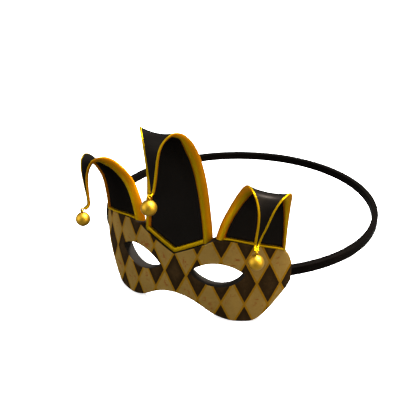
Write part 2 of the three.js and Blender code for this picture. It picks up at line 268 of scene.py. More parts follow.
class Skin:
    """Vertices, faces and UV corners of one piece, gathered from its surfaces."""

    LOOP_STEPS = 40  # round a loop of wire
    WIRE_SIDES = 12

    def __init__(self) -> None:
        """Starts empty."""
        self.points: list[Array] = []
        self.count = 0
        self.faces: list[tuple[int, ...]] = []
        self.corners: list[tuple[float, float]] = []
        self.layers: list[int] = []
        self.shares: list[Array] = []

    def add(self, points: Array, share: Optional[Array] = None) -> int:
        """Adds vertices.

        Args:
            points: Points in any grid.
            share: A number from 0 to 1 for each point, which the finish may use.

        Returns:
            The index of the first one.
        """
        first = self.count
        flat = points.reshape(-1, 3)
        self.points.append(flat)
        self.shares.append(np.zeros(len(flat)) if share is None else share.reshape(-1))
        self.count += len(flat)
        return first

    def face(self, indices: Sequence[int], corners: Sequence[Sequence[float]], layer: int = 0) -> None:
        """Adds one face.

        Args:
            indices: Its vertices.
            corners: A UV for each of them.
            layer: Place of its material on the mesh.
        """
        self.faces.append(tuple(int(i) for i in indices))
        self.corners.extend((float(u), float(v)) for u, v in corners)
        self.layers.append(int(layer))

    def rings(self, points: Array, uv: Array, share: Optional[Array] = None) -> int:
        """Adds rings of points, joined by quads.

        Args:
            points: Rings of shape (rings, points, 3).
            uv: UVs of shape (rings, points + 1, 2).
            share: A number from 0 to 1 for each point, which the finish may use.

        Returns:
            The index of the first vertex.
        """
        count, sides = points.shape[:2]
        first = self.add(points, share)
        for r in range(count - 1):
            near, far = first + r * sides, first + (r + 1) * sides
            for c in range(sides):
                d = (c + 1) % sides
                corners = (uv[r, c], uv[r, c + 1], uv[r + 1, c + 1], uv[r + 1, c])
                self.face((near + c, near + d, far + d, far + c), corners)
        return first

    def cap(self, ring: Sequence[int], uv: Array) -> None:
        """Closes a ring with a fan round its middle.

        Args:
            ring: Vertices of the ring.
            uv: One UV for the whole cap.
        """
        chosen = list(ring)
        share = np.concatenate(self.shares)[chosen].mean()
        middle = self.add(np.concatenate(self.points)[chosen].mean(axis=0)[None], np.array([share]))
        for a, b in zip(chosen, [*chosen[1:], chosen[0]]):
            self.face((a, b, middle), (uv, uv, uv))

    def tube(self, points: Array, share: Optional[Array] = None) -> None:
        """Adds rings of points as a tube with both ends closed.

        Args:
            points: Rings of shape (rings, points, 3).
            share: A number from 0 to 1 for each point, which the finish may use.
        """
        count, sides = points.shape[:2]
        uv = cloth_uv(points)
        first = self.rings(points, uv, share)
        last = first + (count - 1) * sides
        self.cap(range(first, first + sides), uv[0, 0])
        self.cap(range(last, last + sides), uv[-1, 0])

    def loop(self, centre: Array, axis: Array, radius: float, wire: float) -> None:
        """Adds a round loop of wire.

        Args:
            centre: Its middle.
            axis: The way through it.
            radius: From its middle to that of the wire.
            wire: Radius of the wire.
        """
        axis = unit(np.asarray(axis, float))
        first = unit(np.cross(axis, UP))
        second = np.cross(axis, first)
        turn = np.linspace(0, 2 * math.pi, self.LOOP_STEPS, endpoint=False)[:, None, None]
        bend = np.linspace(0, 2 * math.pi, self.WIRE_SIDES, endpoint=False)[None, :, None]
        out = np.cos(turn) * first + np.sin(turn) * second
        points = centre + out * (radius + wire * np.cos(bend)) + axis * wire * np.sin(bend)
        start = self.rings(points, cloth_uv(points))
        last = start + (self.LOOP_STEPS - 1) * self.WIRE_SIDES
        for c in range(self.WIRE_SIDES):
            d = (c + 1) % self.WIRE_SIDES
            self.face((last + c, last + d, start + d, start + c), [(0, 0)] * 4)

    def piece(self, name: str, materials: Sequence[Material], slot: Slot) -> Piece:
        """Makes the object, riding on the mask.

        Args:
            name: Name of the object.
            materials: Its materials, in the order of the layers.
            slot: The record's material slot. It is not used.

        Returns:
            The object, with smooth shading up to the crease angle.
        """
        mesh = bpy.data.meshes.new(name)
        mesh.from_pydata((np.concatenate(self.points) * MM).tolist(), [], self.faces)
        mesh.uv_layers.new(name=UV_NAME).data.foreach_set("uv", np.array(self.corners).ravel())
        shares = mesh.attributes.new(SHARE_NAME, "FLOAT", "POINT")
        shares.data.foreach_set("value", np.concatenate(self.shares))
        mesh.polygons.foreach_set("material_index", self.layers)
        shell = bmesh.new()
        shell.from_mesh(mesh)
        bmesh.ops.dissolve_degenerate(shell, edges=shell.edges, dist=WELD)
        bmesh.ops.recalc_face_normals(shell, faces=shell.faces)
        shell.to_mesh(mesh)
        shell.free()
        for material in materials:
            mesh.materials.append(material)
        mesh.shade_smooth()
        mesh.set_sharp_from_angle(angle=CREASE_ANGLE)
        made = bpy.data.objects.new(name, mesh)
        bpy.context.scene.collection.objects.link(made)
        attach(made, BODY)
        return made


# Shader nodes


class Wiring:
    """Adds and links nodes in one tree, so that a finish reads as a list of steps."""

    NOISE_ROUGHNESS = 0.55

    def __init__(self, tree: Tree) -> None:
        """Keeps the tree."""
        self.tree = tree

    def node(self, kind: str, **settings: object) -> bpy.types.Node:
        """Adds a node.

        Args:
            kind: Its kind, such as TexNoise.
            settings: Properties to set on it.

        Returns:
            The node.
        """
        made = self.tree.nodes.new(f"ShaderNode{kind}")
        for name, value in settings.items():
            setattr(made, name, value)
        return made

    def feed(self, socket: Socket, value: Feed) -> None:
        """Links a socket to another, or sets its own value.

        Args:
            socket: The socket to feed.
            value: Another socket, a number, a colour or a vector.
        """
        if isinstance(value, Socket):
            self.tree.links.new(value, socket)
        elif socket.type == "RGBA":
            socket.default_value = (*value, 1)
        else:
            socket.default_value = value

    def feed_all(self, node: bpy.types.Node, values: dict[str, Feed]) -> None:
        """Feeds inputs of a node by their names."""
        for name, value in values.items():
            self.feed(node.inputs[name], value)

    def maths(self, operation: str, *values: Feed) -> Socket:
        """Adds a maths operation.

        Args:
            operation: Its name.
            values: One to three values.

        Returns:
            The result.
        """
        made = self.node("Math", operation=operation)
        for socket, value in zip(made.inputs, values):
            self.feed(socket, value)
        return made.outputs[0]

    def weighted(self, *terms: tuple[Feed, float]) -> Socket:
        """Adds up values.

        Args:
            terms: Each value with its weight.

        Returns:
            The sum of the values times their weights.
        """
        total, *others = (self.maths("MULTIPLY", value, weight) for value, weight in terms)
        for other in others:
            total = self.maths("ADD", total, other)
        return total

    def swing(self, value: Feed, width: float) -> Socket:
        """A value from 0 to 1 as one that swings round 0, over a width."""
        return self.maths("MULTIPLY", self.maths("SUBTRACT", value, 0.5), width)

    def blend(self, share: Feed, first: Feed, second: Feed) -> Socket:
        """Mixes two colours.

        Args:
            share: How much there is of the second.
            first: The colour where share is 0.
            second: The colour where share is 1.

        Returns:
            The mixed colour.
        """
        made = self.node("Mix", data_type="RGBA")
        sockets = [s for s in made.inputs if s.enabled]
        for socket, value in zip(sockets, (share, first, second)):
            self.feed(socket, value)
        return next(s for s in made.outputs if s.enabled)

    def span(self, value: Feed, low: float, high: float, start: float = 0, end: float = 1) -> Socket:
        """Eases a value over a span.

        Args:
            value: The value.
            low: Where the span starts.
            high: Where it ends.
            start: Result at low.
            end: Result at high.

        Returns:
            The result, which stays at start and end beyond the span.
        """
        made = self.node("MapRange", interpolation_type="SMOOTHSTEP")
        numbers = {"Value": value, "From Min": low, "From Max": high, "To Min": start, "To Max": end}
        self.feed_all(made, numbers)
        return made.outputs[0]

    def noise(self, vector: Feed, scale: Feed, detail: float) -> Socket:
        """Adds a cloudy noise.

        Args:
            vector: Where it is read.
            scale: How many clouds there are to a unit of the vector.
            detail: How many finer clouds are laid over them.

        Returns:
            A value from 0 to 1.
        """
        made = self.node("TexNoise")
        rough = self.NOISE_ROUGHNESS
        self.feed_all(made, {"Vector": vector, "Scale": scale, "Detail": detail, "Roughness": rough})
        return made.outputs["Fac"]

    def place(self) -> Socket:
        """The point on the object, in metres."""
        return self.node("TexCoord").outputs["Object"]

    def stretched(self, scale: Place) -> Socket:
        """Scales the point on the object.

        Args:
            scale: Factors along the three axes.

        Returns:
            The scaled point.
        """
        made = self.node("VectorMath", operation="MULTIPLY")
        self.feed(made.inputs[0], self.place())
        self.feed(made.inputs[1], scale)
        return made.outputs[0]

    def cloth(self) -> Socket:
        """Reads the UVs.

        Returns:
            The point on the cloth, in millimetres.
        """
        made = self.node("VectorMath", operation="SCALE")
        self.feed(made.inputs[0], self.node("UVMap", uv_map=UV_NAME).outputs[0])
        self.feed(made.inputs["Scale"], 1 / UV_PER_MM)
        return made.outputs[0]

    def effect(self, effect: "type[Effect]", **values: Feed) -> bpy.types.NodeOutputs:
        """Places a shared effect.

        Args:
            effect: The effect.
            values: Its inputs, by their names in small letters.

        Returns:
            Its outputs.
        """
        made = self.node("Group")
        made.node_tree = effect.tree()
        self.feed_all(made, {name.capitalize(): value for name, value in values.items()})
        return made.outputs

    def bump(self, height: Feed, distance: float) -> Socket:
        """Adds a relief.

        Args:
            height: Height of the relief, from 0 to 1.
            distance: What a height of 1 is, in millimetres.

        Returns:
            The normal.
        """
        made = self.node("Bump")
        self.feed_all(made, {"Height": height, "Distance": distance * MM})
        return made.outputs[0]


class Effect:
    """A node group that several finishes share. It is built at its first use."""

    NAME: str
    INPUTS: dict[str, str]  # socket types by name
    OUTPUTS: tuple[str, ...]  # names of the values that it puts out
    made: Optional[Tree] = None

    @classmethod
    def tree(cls) -> Tree:
        """Finds or builds the group.

        Returns:
            The group, with its named inputs and outputs.
        """
        if cls.made is None:
            cls.made = bpy.data.node_groups.new(cls.NAME, "ShaderNodeTree")
            for name, kind in cls.INPUTS.items():
                cls.made.interface.new_socket(name, in_out="INPUT", socket_type=kind)
            for name in cls.OUTPUTS:
                cls.made.interface.new_socket(name, in_out="OUTPUT", socket_type="NodeSocketFloat")
            wiring = Wiring(cls.made)
            given = cls.made.nodes.new("NodeGroupInput").outputs
            end = cls.made.nodes.new("NodeGroupOutput")
            for socket, value in zip(end.inputs, cls.wire(wiring, given)):
                wiring.feed(socket, value)
        return cls.made

    @classmethod
    def wire(cls, w: Wiring, given: bpy.types.NodeOutputs) -> list[Socket]:
        """Wires the group's inputs and returns its outputs."""
        raise NotImplementedError


class Weave(Effect):
    """Threads over and under each other, from a point on the cloth and a thread in millimetres."""

    NAME = "Weave"
    INPUTS = {"Point": "NodeSocketVector", "Thread": "NodeSocketFloat"}
    OUTPUTS = ("Height",)

    @classmethod
    def wire(cls, w: Wiring, given: bpy.types.NodeOutputs) -> list[Socket]:
        """Wires the crown of the thread that lies on top.

        Args:
            w: Wiring of the group.
            given: Its inputs.

        Returns:
            The height, from 0 to 1.
        """
        split = w.node("SeparateXYZ")
        w.feed(split.inputs[0], given["Point"])
        turns = [w.maths("DIVIDE", split.outputs[i], given["Thread"]) for i in range(2)]
        cells = [w.maths("FLOOR", turn) for turn in turns]
        over = w.maths("FLOORED_MODULO", w.maths("ADD", *cells), 2.0)
        waves = [w.maths("SINE", w.maths("MULTIPLY", turn, math.pi)) for turn in turns]
        crowns = [w.maths("ABSOLUTE", wave) for wave in waves]
        warp = w.maths("MULTIPLY", crowns[0], over)
        weft = w.maths("MULTIPLY", crowns[1], w.maths("SUBTRACT", 1.0, over))
        return [w.maths("ADD", warp, weft)]


class Mottle(Effect):
    """Uneven tone of dyed or aged cloth: wide clouds with a fine grain on them."""

    NAME = "Mottle"
    INPUTS = {"Point": "NodeSocketVector", "Scale": "NodeSocketFloat"}
    OUTPUTS = ("Tone", "Grain")
    FINENESS = 14.0  # of the grain, beside the clouds
    CLOUD_SHARE = 0.7
    GRAIN_SHARE = 0.3
    CONTRAST: Span = (0.3, 0.7)

    @classmethod
    def wire(cls, w: Wiring, given: bpy.types.NodeOutputs) -> list[Socket]:
        """Wires the clouds and the grain.

        Args:
            w: Wiring of the group.
            given: Its inputs.

        Returns:
            The tone and the grain alone, from 0 to 1.
        """
        clouds = w.noise(given["Point"], given["Scale"], detail=4)
        grain = w.noise(given["Point"], w.maths("MULTIPLY", given["Scale"], cls.FINENESS), detail=2)
        tone = w.weighted((clouds, cls.CLOUD_SHARE), (grain, cls.GRAIN_SHARE))
        return [w.span(tone, *cls.CONTRAST), grain]


class RubbedEdge(Effect):
    """Edges that are worn where the surface stands out, broken up by a noise."""

    NAME = "RubbedEdge"
    INPUTS = {"Point": "NodeSocketVector", "Scale": "NodeSocketFloat"}
    OUTPUTS = ("Worn",)
    STANDING_OUT: Span = (0.52, 0.6)  # of the pointiness
    BROKEN: Span = (0.4, 0.65)

    @classmethod
    def wire(cls, w: Wiring, given: bpy.types.NodeOutputs) -> list[Socket]:
        """Wires the edges and the noise.

        Args:
            w: Wiring of the group.
            given: Its inputs.

        Returns:
            The wear, from 0 to 1.
        """
        edge = w.span(w.node("NewGeometry").outputs["Pointiness"], *cls.STANDING_OUT)
        broken = w.span(w.noise(given["Point"], given["Scale"], detail=4), *cls.BROKEN)
        return [w.maths("MULTIPLY", edge, broken)]


# Finishes


@dataclass(frozen=True)
class Finish:
    """A material with a Principled shader, whose constants are set on its own sockets."""

    name: str
    roughness: float
    metallic: float = 0
    specular: float = 0.5
    shine: Colour = (1.0, 1.0, 1.0)  # tint of the gloss, for a metal at a flat angle

    def start(self) -> tuple[Material, Wiring, bpy.types.NodeInputs]:
        """Makes the material.

        Returns:
            The material, its wiring and the inputs of its Principled node.
        """
        material = bpy.data.materials.new(self.name)
        material.use_nodes = True
        shader = next(n for n in material.node_tree.nodes if n.type == "BSDF_PRINCIPLED")
        shader.inputs["Roughness"].default_value = self.roughness
        shader.inputs["Metallic"].default_value = self.metallic
        shader.inputs["Specular IOR Level"].default_value = self.specular
        shader.inputs["Specular Tint"].default_value = (*self.shine, 1)
        return material, Wiring(material.node_tree), shader.inputs


@dataclass(frozen=True)
class LozengePrint(Finish):
    """Antiqued lozenges in tan and brown with gold lines between them, printed on a fine cloth."""

    tan: Colour = (0.275, 0.170, 0.042)
    aged_tan: Colour = (0.222, 0.136, 0.032)
    brown: Colour = (0.0200, 0.0110, 0.0042)
    brown_heart: Colour = (0.046, 0.0260, 0.0098)
    line: Colour = (0.245, 0.116, 0.0006)
    fleck: Colour = (0.215, 0.078, 0.016)
    column: float = 18.25  # width of a lozenge
    height: float = 36.6
    level: float = -4.5  # height of the middle of the brown lozenges
    aside: float = 0.85  # how far the middle lozenge is from the middle line
    bow: float = 0.00043  # how far they drift to the left, for each square millimetre of arc
    sag: float = 0.026  # how fast they go down to the right of the middle line
    line_width: float = 1.5
    line_end: Span = (0.46, 0.58)  # shares of the line's width over which it ends
    line_age: float = 0.35  # how far the grain fades the lines
    line_gloss: float = 0.22
    fray: float = 0.35  # how far the edges of the lines wander
    fray_scale: float = 900
    age_scale: float = 38
    heart: Span = (0.12, 0.44)  # from the middle of a brown lozenge to its darker edge
    patch_scale: float = 95
    patch: Span = (0.44, 0.6)  # of the noise that says where flecks are
    fleck_end: Span = (0.2, 0.42)  # from the middle of a tan lozenge to its edge without flecks
    fleck_scale: float = 480
    fleck_ways: tuple[Place, ...] = ((0.45, 0.45, 1.2), (1.2, 1.2, 0.45))  # level flecks and upright ones
    fleck_edge: Span = (0.565, 0.63)
    wear: float = 0.5
    wear_scale: float = 260
    thread: float = 0.45
    thread_relief: float = 0.35
    line_relief: float = 0.8
    grain_roughness: float = 0.1
    relief: float = 0.12

    def lattice(self, w: Wiring, cloth: Socket) -> tuple[Socket, Socket]:
        """Wires the lozenges.

        Args:
            w: Wiring of the material.
            cloth: The point on the cloth.

        Returns:
            How far a point is from its lozenge's middle, with 0.5 at the edge, and 1 on the tan lozenges.
        """
        split = w.node("SeparateXYZ")
        w.feed(split.inputs[0], cloth)
        x, y, _ = split.outputs
        drift = w.maths("MULTIPLY", w.maths("MULTIPLY", x, x), self.bow)
        straight = w.maths("SUBTRACT", w.maths("ADD", x, drift), self.aside)
        across = w.maths("DIVIDE", straight, self.column)
        sunk = w.maths("MULTIPLY", w.maths("MAXIMUM", x, 0.0), self.sag)
        level = w.maths("SUBTRACT", w.maths("ADD", y, sunk), self.level)
        up = w.maths("DIVIDE", level, self.height)
        ways = [w.maths("ADD", across, up), w.maths("SUBTRACT", across, up)]
        cells = [w.maths("FLOOR", w.maths("ADD", way, 0.5)) for way in ways]
        offsets = [w.maths("ABSOLUTE", w.maths("SUBTRACT", way, cell)) for way, cell in zip(ways, cells)]
        is_tan = w.maths("FLOORED_MODULO", w.maths("ADD", *cells), 2.0)
        return w.maths("MAXIMUM", *offsets), is_tan

    def lines(self, w: Wiring, furthest: Socket) -> Socket:
        """Wires the gold lines.

        Args:
            w: Wiring of the material.
            furthest: How far a point is from the middle of its lozenge.

        Returns:
            1 on the lines and 0 off them.
        """
        wide = 1 / math.hypot(1 / self.column, 1 / self.height)  # from one line to the next
        from_line = w.maths("MULTIPLY", w.maths("SUBTRACT", 0.5, furthest), wide)
        ragged = w.swing(w.noise(w.place(), self.fray_scale, detail=2), self.fray)
        low, high = (share * self.line_width for share in self.line_end)
        return w.span(w.maths("ADD", from_line, ragged), low, high, 1, 0)

    def flecks(self, w: Wiring, furthest: Socket) -> Socket:
        """Wires the flecks of the tan lozenges.

        Args:
            w: Wiring of the material.
            furthest: How far a point is from the middle of its lozenge.

        Returns:
            1 on the flecks and 0 off them.
        """
        patch = w.span(w.noise(w.place(), self.patch_scale, detail=1), *self.patch)
        inside = w.span(furthest, *self.fleck_end, 1, 0)
        dashes = [w.noise(w.stretched(way), self.fleck_scale, detail=1) for way in self.fleck_ways]
        speck = w.span(w.maths("MAXIMUM", *dashes), *self.fleck_edge)
        return w.maths("MULTIPLY", w.maths("MULTIPLY", patch, inside), speck)

    def build(self) -> Material:
        """Makes the material.

        Returns:
            The print.
        """
        material, w, shader = self.start()
        cloth = w.cloth()
        furthest, is_tan = self.lattice(w, cloth)
        line = self.lines(w, furthest)
        aged = w.effect(Mottle, point=w.place(), scale=self.age_scale)
        tan = w.blend(aged["Tone"], self.aged_tan, self.tan)
        heart = w.maths("MULTIPLY", w.span(furthest, *self.heart, 1, 0), aged["Tone"])
        brown = w.blend(heart, self.brown, self.brown_heart)
        flecked = w.blend(self.flecks(w, furthest), tan, self.fleck)
        ground = w.blend(is_tan, brown, flecked)
        gold = w.blend(w.maths("MULTIPLY", aged["Grain"], self.line_age), self.line, self.aged_tan)
        colour = w.blend(line, ground, gold)
        worn = w.effect(RubbedEdge, point=w.place(), scale=self.wear_scale)["Worn"]
        w.feed(shader["Base Color"], w.blend(w.maths("MULTIPLY", worn, self.wear), colour, self.tan))
        rough = w.maths("SUBTRACT", self.roughness, w.maths("MULTIPLY", line, self.line_gloss))
        grain = w.maths("MULTIPLY", aged["Grain"], self.grain_roughness)
        w.feed(shader["Roughness"], w.maths("ADD", rough, grain))
        threads = w.effect(Weave, point=cloth, thread=self.thread)["Height"]
        height = w.weighted((threads, self.thread_relief), (line, self.line_relief))
        w.feed(shader["Normal"], w.bump(height, self.relief))
        return material


@dataclass(frozen=True, kw_only=True)
class ClothFinish(Finish):
    """Dyed cloth of one tone: the satin, the elastic, the dark edge or the rims of the eye holes."""

    colour: Colour
    faded: Colour
    thread: float
    relief: float
    clouds: float = 45
    cloud_fading: float = 0.6
    thread_fading: float = 0.4
    rubbing: float = 0.3
    rub_scale: float = 220
    grain_roughness: float = 0.16

    def build(self) -> Material:
        """Makes the material.

        Returns:
            The cloth.
        """
        material, w, shader = self.start()
        tone = w.effect(Mottle, point=w.place(), scale=self.clouds)
        threads = w.effect(Weave, point=w.cloth(), thread=self.thread)["Height"]
        worn = w.effect(RubbedEdge, point=w.place(), scale=self.rub_scale)["Worn"]
        light = w.weighted((tone["Tone"], self.cloud_fading), (threads, self.thread_fading))
        faded = w.maths("MAXIMUM", light, w.maths("MULTIPLY", worn, self.rubbing))
        w.feed(shader["Base Color"], w.blend(faded, self.colour, self.faded))
        grain = w.swing(tone["Grain"], self.grain_roughness)
        w.feed(shader["Roughness"], w.maths("ADD", grain, self.roughness))
        w.feed(shader["Normal"], w.bump(threads, self.relief))
        return material


@dataclass(frozen=True)
class LameFinish(Finish):
    """Gold lame of the edging: olive gold where it lies flat, with orange painted shade where it turns over
    the edge.
    """

    flat: Colour = (0.43, 0.270, 0.0018)
    # painted shade of the slopes: darker orange gold for how light falls on them
    painted_slope_shade: Colour = (0.54, 0.160, 0.0012)
    worn: Colour = (0.62, 0.42, 0.010)
    shade: float = 0.7  # of the slope gold with its painted shade, in the clouds
    clouds: float = 60
    cloud_shade: float = 0.25
    rubbing: float = 0.5
    rub_scale: float = 300
    grain_roughness: float = 0.2
    thread: float = 0.35
    relief: float = 0.05

    def build(self) -> Material:
        """Makes the material.

        Returns:
            The gold lame, which reads from the mesh how much painted shade each slope gets.
        """
        material, w, shader = self.start()
        # how much of the painted slope shade the gold takes, read from the mesh
        painted_slope_shade = w.node("Attribute", attribute_name=SHARE_NAME).outputs["Fac"]
        tone = w.effect(Mottle, point=w.place(), scale=self.clouds)
        rubbed = w.effect(RubbedEdge, point=w.place(), scale=self.rub_scale)["Worn"]
        threads = w.effect(Weave, point=w.cloth(), thread=self.thread)["Height"]
        gold = w.blend(painted_slope_shade, self.flat, self.painted_slope_shade)
        shaded = [self.shade * c for c in self.painted_slope_shade]
        clouded = w.blend(w.maths("MULTIPLY", tone["Tone"], self.cloud_shade), gold, shaded)
        w.feed(shader["Base Color"], w.blend(w.maths("MULTIPLY", rubbed, self.rubbing), clouded, self.worn))
        grain = w.swing(tone["Grain"], self.grain_roughness)
        w.feed(shader["Roughness"], w.maths("ADD", self.roughness, grain))
        w.feed(shader["Normal"], w.bump(threads, self.relief))
        return material


@dataclass(frozen=True)
class BrassFinish(Finish):
    """Polished brass with a faint tarnish."""

    colour: Colour = (0.52, 0.300, 0.022)
    tarnish: Colour = (0.38, 0.205, 0.011)
    clouds: float = 140
    tarnish_share: float = 0.45
    tarnish_roughness: float = 0.14
    relief: float = 0.02

    def build(self) -> Material:
        """Makes the material.

        Returns:
            The brass.
        """
        material, w, shader = self.start()
        tone = w.effect(Mottle, point=w.place(), scale=self.clouds)
        tarnish = w.maths("MULTIPLY", tone["Tone"], self.tarnish_share)
        w.feed(shader["Base Color"], w.blend(tarnish, self.colour, self.tarnish))
        rough = w.maths("MULTIPLY", tone["Tone"], self.tarnish_roughness)
        w.feed(shader["Roughness"], w.maths("ADD", self.roughness, rough))
        w.feed(shader["Normal"], w.bump(tone["Grain"], self.relief))
        return material


@dataclass(frozen=True)
class FloorFinish(Finish):
    """Pale matt paper, which throws back less light on the mask than it shows."""

    colour: Colour = (0.92, 0.92, 0.92)
    fibre: Colour = (0.88, 0.88, 0.88)
    bounce: Colour = (0.10, 0.10, 0.10)
    dark: Colour = (0, 0, 0)
    glow: float = 0.75
    clouds: float = 3

    def build(self) -> Material:
        """Makes the material.

        Returns:
            The paper.
        """
        material, w, shader = self.start()
        fibre = w.effect(Mottle, point=w.place(), scale=self.clouds)["Grain"]
        paper = w.blend(fibre, self.colour, self.fibre)
        seen = w.node("LightPath").outputs["Is Camera Ray"]
        w.feed(shader["Base Color"], w.blend(seen, self.bounce, paper))
        w.feed(shader["Emission Color"], w.blend(seen, self.dark, self.colour))
        shader["Emission Strength"].default_value = self.glow
        return material


PRINT = LozengePrint("antiqued_print", roughness=0.6, specular=0.01)
DARK_EDGE = ClothFinish(
    "dark_edge",
    roughness=0.6,
    specular=0.05,
    colour=(0.006, 0.0045, 0.0033),
    faded=(0.012, 0.0096, 0.0072),
    thread=0.6,
    relief=0.05,
)
EYE_RIM = ClothFinish(
    "grey_eye_rim",
    roughness=0.6,
    specular=0.02,
    colour=(0.0105, 0.0085, 0.0068),
    faded=(0.020, 0.0170, 0.0142),
    thread=0.6,
    relief=0.06,
)
SATIN = ClothFinish(
    "black_satin",
    roughness=0.42,
    metallic=0.6,
    specular=0,
    shine=(0, 0, 0),
    colour=(0.0085, 0.0070, 0.0058),
    faded=(0.0120, 0.0102, 0.0088),
    thread=0.3,
    relief=0.008,
)
LAME = LameFinish("gold_lame", roughness=0.33, metallic=0.9, specular=0.2, shine=(1.0, 0.80, 0.15))
BRASS = BrassFinish("polished_brass", roughness=0.38, metallic=1)
ELASTIC = ClothFinish(
    "black_elastic",
    roughness=0.42,
    specular=0.005,
    colour=(0.0014, 0.0010, 0.0008),
    faded=(0.0036, 0.0028, 0.0023),
    thread=0.8,
    relief=0.08,
)
PAPER = FloorFinish("pale_paper", roughness=0.9)


# Face


class EdgePoint(NamedTuple):
    """A point of the face's edge: an arc along the front from the middle line, and a height."""

    arc: float
    height: float


TOP_EDGE = (
    EdgePoint(25.5, 24.4),
    EdgePoint(31, 27.6),
    EdgePoint(40, 28.7),
    EdgePoint(52, 27.2),
    EdgePoint(66, 24.2),
    EdgePoint(80, 20.8),
    EdgePoint(85.5, 16.5),
    EdgePoint(88.2, 8.5),
)
BOTTOM_EDGE = (
    EdgePoint(0, -22),
    EdgePoint(10, -23.6),
    EdgePoint(18.5, -27.3),
    EdgePoint(31, -34.9),
    EdgePoint(42, -38.7),
    EdgePoint(52, -39.4),
    EdgePoint(61.5, -38.2),
    EdgePoint(70, -31.2),
    EdgePoint(79.5, -19),
    EdgePoint(85.6, -10.5),
    EdgePoint(88.2, -5.2),
)


@dataclass
class FaceForm:
    """The curved wall of the face: an upright cylinder whose ends wrap back a little, less so lower down."""

    front_radius: float = 122.2
    wall: float = 8
    wrap: float = 1
    lean: float = 0.02
    wrap_power: float = 4
    half_arc: float = TOP_EDGE[-1].arc
    notch: EdgePoint = TOP_EDGE[0]  # end of the notch under the centre horn
    notch_height: float = 11.8  # of its middle
    arc_rounds: int = 3  # rounds in which the arc of a point is found

    @property
    def back_radius(self) -> float:
        """Radius of the wall's back, which is how far the cylinder's axis lies behind the origin."""
        return self.front_radius - self.wall

    def top(self, arc: Array) -> Array:
        """Heights of the upper edge, with the notch under the centre horn.

        Args:
            arc: Arcs along the front.

        Returns:
            The heights.
        """
        away = np.abs(arc)
        notch = np.interp(away, [0, self.notch.arc], [self.notch_height, self.notch.height])
        return np.where(away < self.notch.arc, notch, smooth_at(np.array(TOP_EDGE), away))

    def bottom(self, arc: Array) -> Array:
        """Heights of the lower edge."""
        return smooth_at(np.array(BOTTOM_EDGE), np.abs(arc))

    def wrapped(self, arc: Array, height: Array) -> Array:
        """How far points of the wall lie behind the cylinder."""
        return (self.wrap + self.lean * height) * np.abs(arc / self.half_arc) ** self.wrap_power

    def point(self, arc: Array, depth: Array, height: Array) -> Array:
        """Points of the wall.

        Args:
            arc: Arcs along the front.
            depth: Depths behind the front.
            height: Heights.

        Returns:
            Points, with one more axis.
        """
        angle = arc / self.front_radius
        radius = self.front_radius - depth
        behind = self.back_radius - radius * np.cos(angle) + self.wrapped(arc, height)
        return np.stack(np.broadcast_arrays(radius * np.sin(angle), behind, height), axis=-1)

    def arc_of(self, points: Array) -> Array:
        """Finds what part of the front points are behind or before.

        Args:
            points: Points of shape (..., 3).

        Returns:
            Arcs along the front.
        """
        arc = np.zeros(points.shape[:-1])
        for _ in range(self.arc_rounds):
            ahead = self.back_radius - points[..., 1] + self.wrapped(arc, points[..., 2])
            arc = self.front_radius * np.arctan2(points[..., 0], ahead)
        return arc


